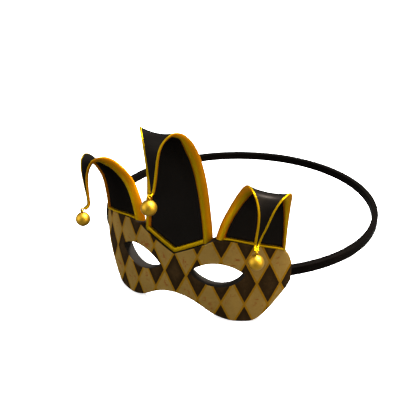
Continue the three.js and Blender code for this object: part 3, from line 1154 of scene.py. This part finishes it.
@dataclass
class MaskFace:
    """The printed shell of the face, with rounded rims and two eye holes."""

    form: FaceForm
    rim: float = 0.45  # radius of the rims
    rim_steps: int = 4
    edge_step: float = 0.7  # between the points of an outline
    edge_rounds: int = 2  # rounds in which the corners of the outer edge are eased
    grid_step: float = 1.7  # between the points inside it
    grid_room: float = 0.55  # between those points and an edge, as a share of that step
    join: float = 1e-6  # between points that become one
    eye_inner: tuple[float, float] = (12.2, -1.4)
    eye_outer: tuple[float, float] = (54.4, 1.1)
    eye_upper: tuple[tuple[float, float], ...] = ((19.9, 8.1), (37.9, 15.6))  # handles of the curve
    eye_lower: tuple[tuple[float, float], ...] = ((45.9, -13.9), (24.9, -13.9))
    eye_steps: int = 64

    def outline(self) -> Array:
        """Works out the outer edge.

        Returns:
            Arcs and heights, anticlockwise.
        """
        form = self.form
        arcs = np.arange(-form.half_arc, form.half_arc, self.edge_step)
        arcs = np.unique([*arcs, -form.notch.arc, 0, form.notch.arc, form.half_arc])
        low = np.column_stack([arcs, form.bottom(arcs)])
        high = np.column_stack([arcs, form.top(arcs)])[::-1]
        ends = []
        for start, end in ((low[-1], high[0]), (high[-1], low[0])):
            steps = int(np.linalg.norm(end - start) / self.edge_step)
            ends.append(np.linspace(start, end, steps + 1)[1:-1])
        loop = np.concatenate([low, ends[0], high, ends[1]])
        for _ in range(self.edge_rounds):
            loop = (np.roll(loop, 1, axis=0) + 2 * loop + np.roll(loop, -1, axis=0)) / 4
        return loop

    def eye(self, mirrored: bool) -> Array:
        """Works out the edge of an eye hole.

        Args:
            mirrored: Whether it is the left one.

        Returns:
            Arcs and heights, clockwise.
        """
        upper = handle_curve([self.eye_inner, *self.eye_upper, self.eye_outer], self.eye_steps)
        lower = handle_curve([self.eye_outer, *self.eye_lower, self.eye_inner], self.eye_steps)
        loop = np.concatenate([upper, lower])
        return (loop * [-1, 1])[::-1] if mirrored else loop

    @staticmethod
    def inward(loop: Array) -> Array:
        """Works out the ways from an outline into the wall.

        Args:
            loop: Its points.

        Returns:
            A unit vector for each point.
        """
        ahead = unit(np.roll(loop, -1, axis=0) - loop)
        behind = unit(loop - np.roll(loop, 1, axis=0))
        way = unit(ahead + behind)
        return np.column_stack([-way[:, 1], way[:, 0]])

    @staticmethod
    def holds(loop: Array, points: Array) -> Array:
        """Tells which points lie inside an outline.

        Args:
            loop: The outline.
            points: The points.

        Returns:
            True or False for each point.
        """
        inside = np.zeros(len(points), bool)
        for (x0, y0), (x1, y1) in zip(loop, np.roll(loop, -1, axis=0)):
            if y0 == y1:
                continue
            crosses = (y0 > points[:, 1]) != (y1 > points[:, 1])
            inside ^= crosses & (points[:, 0] < (x1 - x0) * (points[:, 1] - y0) / (y1 - y0) + x0)
        return inside

    def within(self, loops: Sequence[Array], points: Array) -> Array:
        """Tells which points lie on the face.

        Args:
            loops: The outer edge and the edges of the holes.
            points: The points.

        Returns:
            True for each point inside the outer edge and outside the holes.
        """
        inside = self.holds(loops[0], points)
        for hole in loops[1:]:
            inside &= ~self.holds(hole, points)
        return inside

    def flat(self, loops: Sequence[Array]) -> tuple[Array, list[list[int]]]:
        """Fills the outer edge apart from the holes.

        Args:
            loops: The outer edge and the edges of the holes.

        Returns:
            Points, which start with those of the loops, and triangles.
        """
        edges = np.concatenate(loops)
        half, low, high = self.form.half_arc, edges[:, 1].min(), edges[:, 1].max()
        columns, rows = (np.arange(*ends, self.grid_step) for ends in ((-half, half), (low, high)))
        arcs, heights = np.meshgrid(columns, rows)
        inner = np.column_stack([arcs.ravel(), heights.ravel()])
        near = np.min(np.linalg.norm(inner[:, None] - edges[None, ::2], axis=-1), axis=1)
        inner = inner[near > self.grid_room * self.grid_step]
        points = np.concatenate([edges, inner[self.within(loops, inner)]])
        rings, first = [], 0
        for loop in loops:
            ring = np.arange(first, first + len(loop))
            rings.extend(zip(ring.tolist(), np.roll(ring, -1).tolist()))
            first += len(loop)
        _, _, faces, sources, _, _ = delaunay_2d_cdt([Vector(p) for p in points], rings, [], 0, self.join)
        source = [indices[0] for indices in sources]
        triangles = np.array([[source[i] for i in face] for face in faces])
        middles = points[triangles].mean(axis=1)
        return points, triangles[self.within(loops, middles)].tolist()

    def rim_rows(self) -> list[tuple[float, float]]:
        """Works out the section of a rim, from the front to the back.

        Returns:
            How far each row is inside the edge, and its depth.
        """
        bends = np.linspace(0, math.pi / 2, self.rim_steps + 1)[1:]
        rows = [(self.rim * (1 - math.sin(b)), self.rim * (1 - math.cos(b))) for b in bends]
        return rows + [(inset, self.form.wall - depth) for inset, depth in reversed(rows)]

    def add_rim(
        self, skin: Skin, loop: Array, edges: tuple[int, int], print_uv: Array, layer: FaceLayer
    ) -> None:
        """Adds the rim of one edge, on whose front the print goes on.

        Args:
            skin: Where it is added.
            loop: Points of the edge.
            edges: First vertices of the edge on the front and on the back.
            print_uv: UVs of the edge on the front.
            layer: Material of the rim where the print ends.
        """
        count, way, rows = len(loop), self.inward(loop), self.rim_rows()
        starts = [edges[0]]
        for inset, depth in rows:
            placed = loop + inset * way
            starts.append(skin.add(self.form.point(placed[:, 0], depth, placed[:, 1])))
        starts.append(edges[1])
        around = lengths(np.concatenate([loop, loop[:1]])) * UV_PER_MM
        deep = np.array([0, *(depth for _, depth in rows), self.form.wall]) * UV_PER_MM
        for r, (near, far) in enumerate(zip(starts, starts[1:])):
            printed = r < self.rim_steps - 1
            for i in range(count):
                j = (i + 1) % count
                if printed:
                    corners = (print_uv[i], print_uv[j], print_uv[j], print_uv[i])
                else:
                    spans = ((i, r), (i + 1, r), (i + 1, r + 1), (i, r + 1))
                    corners = tuple((around[k], deep[row]) for k, row in spans)
                ring = (near + i, near + j, far + j, far + i)
                skin.face(ring, corners, FaceLayer.PRINT if printed else layer)

    def build(self, materials: Sequence[Material]) -> Piece:
        """Makes the shell.

        Args:
            materials: The print of the front, the edge and back, and the rims of the eye holes.

        Returns:
            The object.
        """
        skin = Skin()
        loops = [self.outline(), self.eye(mirrored=False), self.eye(mirrored=True)]
        flat, triangles = self.flat([loop + self.rim * self.inward(loop) for loop in loops])
        front = skin.add(self.form.point(flat[:, 0], 0.0, flat[:, 1]))
        back = skin.add(self.form.point(flat[:, 0], self.form.wall, flat[:, 1]))
        uv = flat * UV_PER_MM
        for a, b, c in triangles:
            skin.face((front + a, front + b, front + c), (uv[a], uv[b], uv[c]), FaceLayer.PRINT)
            skin.face((back + a, back + c, back + b), (uv[a], uv[c], uv[b]), FaceLayer.EDGE)
        first = 0
        for loop, layer in zip(loops, (FaceLayer.EDGE, FaceLayer.EYE_RIM, FaceLayer.EYE_RIM)):
            self.add_rim(skin, loop, (front + first, back + first), uv[first : first + len(loop)], layer)
            first += len(loop)
        made = skin.piece("face_shell", materials, Slot.FACE)
        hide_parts("mask_face")
        return made


# Head strap


@dataclass
class HeadStrap:
    """A soft tube of woven elastic on a level oval round the head."""

    form: FaceForm
    half_width: float = 117.8
    front_depth: float = 117.1
    back_depth: float = 121.8
    height: float = 0.4
    wide: float = 5.4
    tall: float = 7.6
    corner: float = 1.3
    sunk: float = 7  # how far the ends go into the face
    steps: int = 420
    round_steps: int = 8

    def build(self, material: Material) -> Piece:
        """Makes the strap, with its ends in the face.

        Args:
            material: The elastic.

        Returns:
            The object.
        """
        start = (self.form.half_arc - self.sunk) / self.form.front_radius
        angle = np.linspace(start, 2 * math.pi - start, self.steps + 1)
        ahead = np.cos(angle)
        depth = np.where(ahead > 0, self.front_depth, self.back_depth)
        level = np.full_like(angle, self.height)
        behind = self.form.back_radius - depth * ahead
        line = np.column_stack([self.half_width * np.sin(angle), behind, level])
        out = np.cross(unit(np.gradient(line, axis=0)), UP)
        half = np.array([self.wide, self.tall]) / 2
        corners = half * [(1, -1), (1, 1), (-1, 1), (-1, -1)]
        section = rounded(corners, np.array(self.corner), self.round_steps)
        skin = Skin()
        skin.tube(line[:, None] + section[None, :, :1] * out[:, None] + section[None, :, 1:] * UP)
        made = skin.piece("strap_loop", [material], Slot.STRAP)
        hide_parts("head_strap")
        return made


# Horns


class HornRow(NamedTuple):
    """One section of a horn: u across it, v forward and z up for its inner and outer edge, and its dish."""

    u_in: float
    u_out: float
    v_in: float
    v_out: float
    z_in: float
    z_out: float
    dish: float


def even_row(half_width: float, v: float, z: float, dish: float) -> HornRow:
    """A section that is the same on both sides."""
    return HornRow(-half_width, half_width, v, v, z, z, dish)


CENTRE_ROWS = (
    even_row(28.7, 0.4, 6, 3.2),
    even_row(27.7, 0.2, 33, 2.6),
    even_row(26.1, 0.3, 50, 2.4),
    even_row(24.9, 1.3, 64, 2.3),
    even_row(23.4, 3.8, 79, 2.3),
    even_row(21.6, 8.0, 92.5, 2.5),
    even_row(19.2, 14.2, 103.7, 2.7),
    even_row(16.4, 19.6, 109.3, 2.7),
    even_row(13.0, 24.3, 110.6, 2.2),
    even_row(9.3, 28.4, 107.3, 1.4),
    even_row(6.7, 30.8, 101.5, 0.8),
    even_row(5.2, 31.7, 94, 0.4),
    even_row(4.0, 32.0, 85, 0.2),
    even_row(2.8, 32.5, 76.5, 0),
    even_row(2.1, 33.6, 72, 0),
    even_row(1.7, 36.2, 70.1, 0),
)
SIDE_ROWS = (
    HornRow(-28.8, 25.8, 2.6, -0.4, 14, 9, 3.2),
    HornRow(-21.2, 26.4, 1.6, 1.0, 40, 35.5, 2.4),
    HornRow(-14.2, 26.9, 2.6, 3.6, 55.5, 49.3, 2.2),
    HornRow(-9.5, 27.0, 7.4, 8.6, 66.0, 59.6, 2.2),
    HornRow(-6.2, 26.7, 13.5, 14.2, 73.0, 67, 2.4),
    HornRow(-3.4, 24.6, 20.3, 20.0, 76.5, 71.2, 2.5),
    HornRow(-0.3, 20.1, 25.8, 25.0, 74.9, 70.4, 1.9),
    HornRow(2.2, 16.5, 28.8, 27.7, 69.4, 66.8, 1.1),
    HornRow(3.3, 13.4, 30.4, 29.0, 62, 61, 0.5),
    HornRow(2.9, 10.1, 31.0, 29.6, 52.5, 52.5, 0.2),
    HornRow(2.0, 6.9, 31.3, 30.1, 45, 45, 0),
    HornRow(1.5, 5.3, 32.0, 31.3, 40, 40, 0),
    HornRow(1.4, 4.8, 35.5, 35.5, 38, 38, 0),
)
SIDE_STAND = (52.2, 12.0)  # where the middle of a side horn stands, as x and y
SIDE_TURN = math.radians(24)
SIDE_SLIM = 0.5  # width of its outer edging at the base, as a share of the inner one
CENTRE_BASE_BORDER = 3.8
SIDE_BASE_BORDER = 1.8


class EdgingRow(NamedTuple):
    """The edging at a share of the horn: flat border, bevel outside it, depth, and lip on the back."""

    along: float
    border: float
    bevel: float
    depth: float
    lip: float


EDGING_ROWS = (
    EdgingRow(0, 2.9, 3.8, 6.6, 2.6),
    EdgingRow(0.34, 4.6, 3.2, 5, 2.4),
    EdgingRow(0.47, 2.9, 1.6, 3, 2.1),
    EdgingRow(0.62, 1.3, 0.6, 2.2, 1.7),
    EdgingRow(0.86, 1.1, 0.4, 1.9, 1.8),
    EdgingRow(1, 1.0, 0.3, 1.7, 1.7),
)
SLIM_END = 0.4  # share of the horn at which a slim edging has its full width


def edging_at(along: Array, slim: float) -> EdgingRow:
    """The edging at any shares of the horn.

    Args:
        along: Shares of the horn.
        slim: Width of the edging at the base, as a share of that in its table.

    Returns:
        The sizes, eased between the rows of the table.
    """
    table = np.array(EDGING_ROWS)
    upper = np.clip(np.searchsorted(table[:, 0], along), 1, len(table) - 1)
    low, high = table[upper - 1], table[upper]
    share = eased(along, low[..., 0], high[..., 0])
    values = low + (high - low) * share[..., None]
    _, border, bevel, depth, lip = np.moveaxis(values, -1, 0)
    width = slim + (1 - slim) * eased(along, 0, SLIM_END)
    return EdgingRow(along, border * width, bevel * width, depth, lip)


@dataclass
class HornSurface:
    """The middle surface of a horn, from its base to its tip."""

    rows: Sequence[HornRow]
    stand: tuple[float, float] = (0.0, 0.0)  # where the middle of the horn stands, as x and y
    turn: float = 0.0  # how far it is turned round the face, in radians
    mirrored: bool = False

    def __post_init__(self) -> None:
        """Works out its two edges and its dish."""
        inner = [self.placed(row.u_in, row.v_in, row.z_in) for row in self.rows]
        outer = [self.placed(row.u_out, row.v_out, row.z_out) for row in self.rows]
        if self.mirrored:
            inner, outer = outer, inner
        self.left = EdgeCurve(np.array(inner))
        self.right = EdgeCurve(np.array(outer))
        self.dishes = np.array([(i / (len(self.rows) - 1), row.dish) for i, row in enumerate(self.rows)])

    def placed(self, u: float, v: float, z: float) -> Place:
        """Places a point of the horn's own axes on the mask.

        Args:
            u: Across the horn.
            v: Forward.
            z: Up.

        Returns:
            The point on the mask.
        """
        cos, sin = math.cos(self.turn), math.sin(self.turn)
        x = self.stand[0] + u * cos + v * sin
        return (-x if self.mirrored else x, self.stand[1] + u * sin - v * cos, z)

    def sections(self, along: Array) -> tuple[Array, Array, Array, Array, Array]:
        """Sections at shares of the horn.

        Args:
            along: Shares from the base, 0, to the tip, 1, in any shape.

        Returns:
            The left edge, the way across, the way to the front, the width and the dish.
        """
        left, right = self.left.at(along), self.right.at(along)
        width = np.linalg.norm(right - left, axis=-1)
        across = (right - left) / width[..., None]
        front = unit(np.cross(across, self.left.way(along) + self.right.way(along)))
        return left, across, front, width, smooth_at(self.dishes, along)

    def width(self, along: Array) -> Array:
        """Widths at shares of the horn."""
        return np.linalg.norm(self.right.at(along) - self.left.at(along), axis=-1)

    def point(self, along: Array, distance: Array, over: Array) -> Array:
        """Points near the surface.

        Args:
            along: Shares of the horn.
            distance: Distances from the left edge.
            over: Heights over the dished middle surface.

        Returns:
            Points, with one more axis.
        """
        along, distance, over = np.broadcast_arrays(along, distance, over)
        left, across, front, width, dish = self.sections(along)
        share = distance / width
        rise = 4 * dish * share * (1 - share) + over
        return left + distance[..., None] * across + rise[..., None] * front


# From shares of the horn to distances from its left edge and heights over its middle
Column = Callable[[Array], tuple[Array, Array]]


@dataclass
class JesterHorn:
    """A horn of black satin with gold edging on both sides and along its base, and an eyelet at its tip."""

    side: Side
    form: FaceForm
    surface: HornSurface
    base_border: float
    slim: float = 1  # width of the outer edging at its base, as a share of the inner one
    gap: float = 0.2  # between the horn and the upper edge of the face
    steps: int = 190
    foot_steps: int = 400
    foot_end: float = 0.5  # share of the horn below which every foot is
    corner_steps: int = 4
    corner: float = 0.36  # radius of the edging's corners, as a share of its border
    recess: float = 0.33  # of the satin below the border, as a share of the edging's depth
    inner_slope: float = 0.5  # of the border, down to the satin
    inner_foot: float = 1.3  # how far that slope goes down, in recesses
    most_reach: float = 0.5  # of the edging and of its lip, as a share of the horn's width
    most_bevel: float = 0.45  # as a share of the edging's reach
    waist: tuple[float, float] = (0.30, 0.20)  # bend of the outer slope, as shares of the bevel and the depth
    rear: float = 0.24  # outermost line of the edging behind the middle, as a share of its depth
    rear_round: float = 0.4  # from there to the back, as a share of the bevel or the lip
    lip_step: float = 0.14  # from the middle back to the lip's inner corner, as a share of the depth
    slope_shade_start: float = 0.45  # how much painted shade the gold has where the outer slope starts
    base_columns: int = 60
    base_corner: float = 0.9
    base_proud: float = 0.1  # how far the border along the base stands out beyond the sides
    panel_columns: int = 28
    panel_end: float = 0.985  # share of the horn
    panel_reach: float = 0.46  # most of the horn's width on each side
    panel_back: float = 0.46  # behind the middle, as a share of the edging's depth
    tuck: float = 0.8  # of the satin under the edging
    eyelet_reach: float = 1.8
    eyelet_radius: float = 1.3
    wire: float = 0.5

    @classmethod
    def on(cls, side: Side, form: FaceForm) -> "JesterHorn":
        """Makes the horn of a side.

        Args:
            side: Where it stands.
            form: The face that it stands on.

        Returns:
            The tall even horn of the centre, or a turned one.
        """
        if side is Side.CENTRE:
            return cls(side, form, HornSurface(CENTRE_ROWS), CENTRE_BASE_BORDER)
        surface = HornSurface(SIDE_ROWS, SIDE_STAND, SIDE_TURN, mirrored=side is Side.LEFT)
        return cls(side, form, surface, SIDE_BASE_BORDER, SIDE_SLIM)

    def foot(self, column: Column, lift: float) -> float:
        """Finds where a column of points comes out of the face.

        Args:
            column: The column.
            lift: Height over the upper edge of the face.

        Returns:
            The share of the horn.
        """
        along = np.linspace(0, self.foot_end, self.foot_steps)
        points = self.surface.point(along, *column(along))
        clear = points[:, 2] - self.form.top(self.form.arc_of(points)) - lift
        first = max(1, int(np.argmax(clear > 0)))
        return float(np.interp(0, clear[first - 1 : first + 1], along[first - 1 : first + 1]))

    def columns(self, columns: Sequence[Column], lift: float, end: float) -> Array:
        """Points of columns that start over the face and run up the horn.

        Args:
            columns: The columns.
            lift: Height over the upper edge of the face at which they start.
            end: Share of the horn at which they stop.

        Returns:
            Points of shape (steps + 1, columns, 3).
        """
        t = np.linspace(0, 1, self.steps + 1)
        made = []
        for column in columns:
            start = self.foot(column, lift)
            along = start + (end - start) * t
            made.append(self.surface.point(along, *column(along)))
        return np.stack(made, axis=1)

    def edging_row(self, along: Array, at_left: bool) -> EdgingRow:
        """Sizes of the edging of one side."""
        outer = Side.LEFT if at_left else Side.RIGHT
        return edging_at(along, self.slim if self.side is outer else 1)

    def profile(self, along: Array, at_left: bool) -> Array:
        """Outlines of the edging.

        Args:
            along: Shares of the horn.
            at_left: Which side it is on.

        Returns:
            Distances from the edge and heights over the middle, of shape (..., points, 2).
        """
        row = self.edging_row(along, at_left)
        half, widest = row.depth / 2, self.most_reach * self.surface.width(along)
        reach = np.minimum(row.border + row.bevel, widest)
        lip = np.minimum(row.lip, widest)
        bevel = np.minimum(row.bevel, self.most_bevel * reach)
        corners = [
            (reach, half - self.inner_foot * self.recess * row.depth),
            (reach - self.inner_slope * (reach - bevel), half),
            (bevel, half),
            (self.waist[0] * bevel, self.waist[1] * row.depth),
            (0 * bevel, -self.rear * row.depth),
            (self.rear_round * np.minimum(bevel, lip), -half),
            (lip, -half),
            (lip, -self.lip_step * row.depth),
        ]
        outline = np.stack([np.stack(np.broadcast_arrays(*corner), axis=-1) for corner in corners], axis=-2)
        return rounded(outline, self.corner * row.border, self.corner_steps)

    def edging_column(self, at_left: bool, index: int, along: Array) -> tuple[Array, Array]:
        """One line along the edging.

        Args:
            at_left: Which side it is on.
            index: Its point of the outline.
            along: Shares of the horn.

        Returns:
            Distances from the left edge and heights over the middle.
        """
        inward, over = np.moveaxis(self.profile(along, at_left)[..., index, :], -1, 0)
        return (inward if at_left else self.surface.width(along) - inward), over

    def base_column(self, ends: tuple[float, float], share: float, along: Array) -> tuple[Array, Array]:
        """One line up the middle of the border along the base.

        Args:
            ends: How far the border is from the left edge and from the right one.
            share: Where the line is, from the left end to the right one.
            along: Shares of the horn.

        Returns:
            Distances from the left edge and heights over the middle.
        """
        left, right = ends
        return left + (self.surface.width(along) - left - right) * share, np.zeros_like(along)

    def satin_column(self, front: bool, share: float, along: Array) -> tuple[Array, Array]:
        """One line along the satin.

        Args:
            front: Whether it is on the front or on the back.
            share: Where it is, from left to right.
            along: Shares of the horn.

        Returns:
            Distances from the left edge and heights over the middle.
        """
        rows = [self.edging_row(along, at_left) for at_left in (True, False)]
        width = self.surface.width(along)
        under = [row.border + row.bevel if front else row.lip for row in rows]
        left, right = (np.minimum(reach - self.tuck, self.panel_reach * width) for reach in under)
        over = (0.5 - self.recess if front else -self.panel_back) * rows[0].depth
        return left + (width - left - right) * share, over

    def bar(self, skin: Skin, at_left: bool) -> None:
        """Adds the edging of one side.

        Args:
            skin: Where it is added.
            at_left: Which side it is on.
        """
        count, steps = self.profile(np.zeros(1), at_left).shape[-2], self.corner_steps
        lines = [partial(self.edging_column, at_left, i) for i in range(count)]
        points = self.columns(lines, self.gap, end=1)
        # painted shade of the edging's slopes, which the gold lame reads: full in the hollow of the inner
        # slope, rising across the outer slope
        painted_slope_shade = np.zeros(count)
        painted_slope_shade[: 3 * steps // 2] = 1  # full painted shade on the inner slope
        outer = slice(3 * steps - 1, 5 * steps)  # from the border to the outermost line
        painted_slope_shade[outer] = np.linspace(self.slope_shade_start, 1, 2 * steps + 1)
        skin.tube(points, np.broadcast_to(painted_slope_shade, points.shape[:2]))

    def base(self, skin: Skin) -> None:
        """Adds the border along the base, between the two sides.

        Args:
            skin: Where it is added.
        """
        rows = [self.edging_row(np.zeros(1), at_left) for at_left in (True, False)]
        ends = tuple(float(row.bevel[0] + 0.5 * row.border[0]) for row in rows)
        half = float(rows[0].depth[0] / 2) + self.base_proud
        corners = np.array([(0, half), (1, half), (1, -half), (0, -half)]) * [self.base_border, 1]
        height, over = rounded(corners, np.array(self.base_corner), self.corner_steps).T
        rings = []
        for share in np.linspace(0, 1, self.base_columns):
            column = partial(self.base_column, ends, share)
            low = self.foot(column, self.gap)
            high = self.foot(column, self.gap + self.base_border)
            along = low + (high - low) * height / self.base_border
            distance, _ = column(along)
            rings.append(self.surface.point(along, distance, over))
        skin.tube(np.array(rings))

    def tip(self) -> tuple[Array, Array]:
        """Works out the eyelet.

        Returns:
            Its middle and the level way ahead.
        """
        left, across, front, width, _ = self.surface.sections(np.array(1.0))
        ahead = np.cross(front, across)
        ahead[2] = 0
        ahead = unit(ahead)
        return left + across * width / 2 + ahead * self.eyelet_reach, ahead

    def edging(self, material: Material) -> Piece:
        """Makes the gold edging with its eyelet.

        Args:
            material: The gold lame.

        Returns:
            The object.
        """
        skin = Skin()
        for at_left in (True, False):
            self.bar(skin, at_left)
        self.base(skin)
        eyelet, ahead = self.tip()
        skin.loop(eyelet, np.cross(UP, ahead), self.eyelet_radius, self.wire)
        made = skin.piece(f"gold_edging_{self.side.value}", [material], Slot.EDGING)
        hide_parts(f"horn_edging_{self.side.value}")
        return made

    def panel(self, material: Material) -> Piece:
        """Makes the satin, tucked under the edging on the front and almost flush with its lip on the back.

        Args:
            material: The satin.

        Returns:
            The object.
        """
        shares = np.linspace(0, 1, self.panel_columns)
        ring = [partial(self.satin_column, True, share) for share in shares]
        ring += [partial(self.satin_column, False, share) for share in shares[::-1]]
        skin = Skin()
        skin.tube(self.columns(ring, self.gap + self.base_border - self.tuck, self.panel_end))
        made = skin.piece(f"satin_horn_{self.side.value}", [material], Slot.CLOTH)
        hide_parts(f"horn_{self.side.value}")
        return made


# Bells


@dataclass
class Bell:
    """A round bell with a small boss on top and an eye that hangs in the eyelet."""

    side: Side
    eyelet: Array
    ahead: Array
    radius: float = 5.5
    drop: float = 7.6
    eye_radius: float = 1.2
    eye_wire: float = 0.45
    boss_radius: float = 1.15
    boss_height: float = 0.3
    boss_power: float = 4  # how steep its edge is
    sides: int = 56
    rows: int = 44

    def build(self, material: Material) -> Piece:
        """Makes the bell and its eye.

        Args:
            material: The brass.

        Returns:
            The object.
        """
        bend = np.linspace(0, math.pi, self.rows)[1:-1]
        away, rise = self.radius * np.sin(bend), self.radius * np.cos(bend)
        boss = self.boss_height * np.exp(-((away / self.boss_radius) ** self.boss_power))
        rise = rise + boss * (rise > 0)
        turn = np.linspace(0, 2 * math.pi, self.sides, endpoint=False)
        circle = np.column_stack([np.cos(turn), np.sin(turn), np.zeros_like(turn)])
        middle = self.eyelet - self.drop * UP
        skin = Skin()
        skin.tube(middle + away[:, None, None] * circle + rise[:, None, None] * UP)
        skin.loop(self.eyelet - self.eye_radius * UP, self.ahead, self.eye_radius, self.eye_wire)
        made = skin.piece(f"brass_bell_{self.side.value}", [material], Slot.BELL)
        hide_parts(f"bell_{self.side.value}")
        return made


# Studio


class Softbox(NamedTuple):
    """A square soft light: where it stands, the length of its sides, its power in watts and its colour."""

    name: str
    at: Place
    size: float
    power: float
    colour: Colour = (1.0, 1.0, 1.0)


SOFTBOXES = (
    Softbox("overhead", (0, 0.6, 3.0), 5, 35),
    Softbox("crest", (0.62, 0.45, 1.40), 0.3, 110),
    Softbox("right", (1.38, 0.00, 0.55), 1.0, 16, (1.0, 0.84, 0.60)),
    Softbox("front", (-1.20, -1.24, 0.60), 1.8, 28),
)


@dataclass
class Studio:
    """A pale floor, soft lights and the photograph's camera. Sizes are in metres."""

    camera_at: Place = (0.1946, -0.3370, 0.2358)
    aims_at: Place = (0.0020, 0.0480, 0.0235)
    lit_at: Place = (0, 0, 0.03)  # what the soft lights face
    lens: float = 51.43
    sensor: float = 36
    clip: Span = (0.01, 20)
    floor_gap: float = 0.0006
    floor_size: float = 8
    sky: float = 0.24
    backdrop: float = 1.0  # the sky as the camera sees it

    @staticmethod
    def put(name: str, data: bpy.types.ID, at: Place, facing: Place) -> Piece:
        """Puts a camera or a light in the scene.

        Args:
            name: Name of the object.
            data: The camera or the light.
            at: Where it stands.
            facing: The point that it faces.

        Returns:
            The object.
        """
        made = bpy.data.objects.new(name, data)
        made.location = at
        made.rotation_euler = (Vector(facing) - Vector(at)).to_track_quat("-Z", "Y").to_euler()
        bpy.context.scene.collection.objects.link(made)
        return made

    def camera(self) -> None:
        """Makes the camera."""
        data = bpy.data.cameras.new("photo_camera")
        data.lens, data.sensor_width = self.lens, self.sensor
        data.clip_start, data.clip_end = self.clip
        bpy.context.scene.camera = self.put("photo_camera", data, self.camera_at, self.aims_at)

    def softbox(self, box: Softbox) -> None:
        """Makes a soft light that faces the mask.

        Args:
            box: Its sizes.
        """
        data = bpy.data.lights.new(box.name, "AREA")
        data.size, data.energy, data.color = box.size, box.power, box.colour
        self.put(box.name, data, box.at, self.lit_at)

    def floor(self, material: Material) -> None:
        """Makes the floor, just under the mask.

        Args:
            material: The paper.
        """
        half = self.floor_size / 2
        level = CAD_BOX[0].z - self.floor_gap
        mesh = bpy.data.meshes.new("floor")
        corners = [(-half, -half, level), (half, -half, level), (half, half, level), (-half, half, level)]
        mesh.from_pydata(corners, [], [(0, 1, 2, 3)])
        mesh.materials.append(material)
        made = bpy.data.objects.new("floor", mesh)
        bpy.context.scene.collection.objects.link(made)

    def world(self) -> None:
        """Makes a white sky, which lights the mask less than the camera sees of it."""
        world = bpy.data.worlds.new("studio")
        world.use_nodes = True
        sky = world.node_tree.nodes["Background"]
        sky.inputs["Color"].default_value = (1, 1, 1, 1)
        w = Wiring(world.node_tree)
        seen = w.node("LightPath").outputs["Is Camera Ray"]
        w.feed(sky.inputs["Strength"], w.maths("MULTIPLY_ADD", seen, self.backdrop - self.sky, self.sky))
        bpy.context.scene.world = world

    def build(self, floor_material: Material) -> None:
        """Makes the whole studio.

        Args:
            floor_material: The paper of the floor.
        """
        bpy.context.scene.view_settings.view_transform = "Standard"
        self.world()
        self.camera()
        self.floor(floor_material)
        for box in SOFTBOXES:
            self.softbox(box)


def main() -> None:
    """Builds the mask in its studio and reports its pieces."""
    logging.basicConfig(level=logging.INFO, format="%(name)s: %(message)s")
    LOG.info("frame has %d nodes", len(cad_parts))
    form = FaceForm()
    face = MaskFace(form).build([PRINT.build(), DARK_EDGE.build(), EYE_RIM.build()])
    strap = HeadStrap(form).build(ELASTIC.build())
    pieces = [face, strap]
    satin, lame, brass = SATIN.build(), LAME.build(), BRASS.build()
    for side in Side:
        horn = JesterHorn.on(side, form)
        bell = Bell(side, *horn.tip())
        pieces += [horn.panel(satin), horn.edging(lame), bell.build(brass)]
    for piece in pieces:
        LOG.info("%s: %d faces", piece.name, len(piece.data.polygons))
    Studio().build(PAPER.build())


if __name__ == "__main__":
    main()
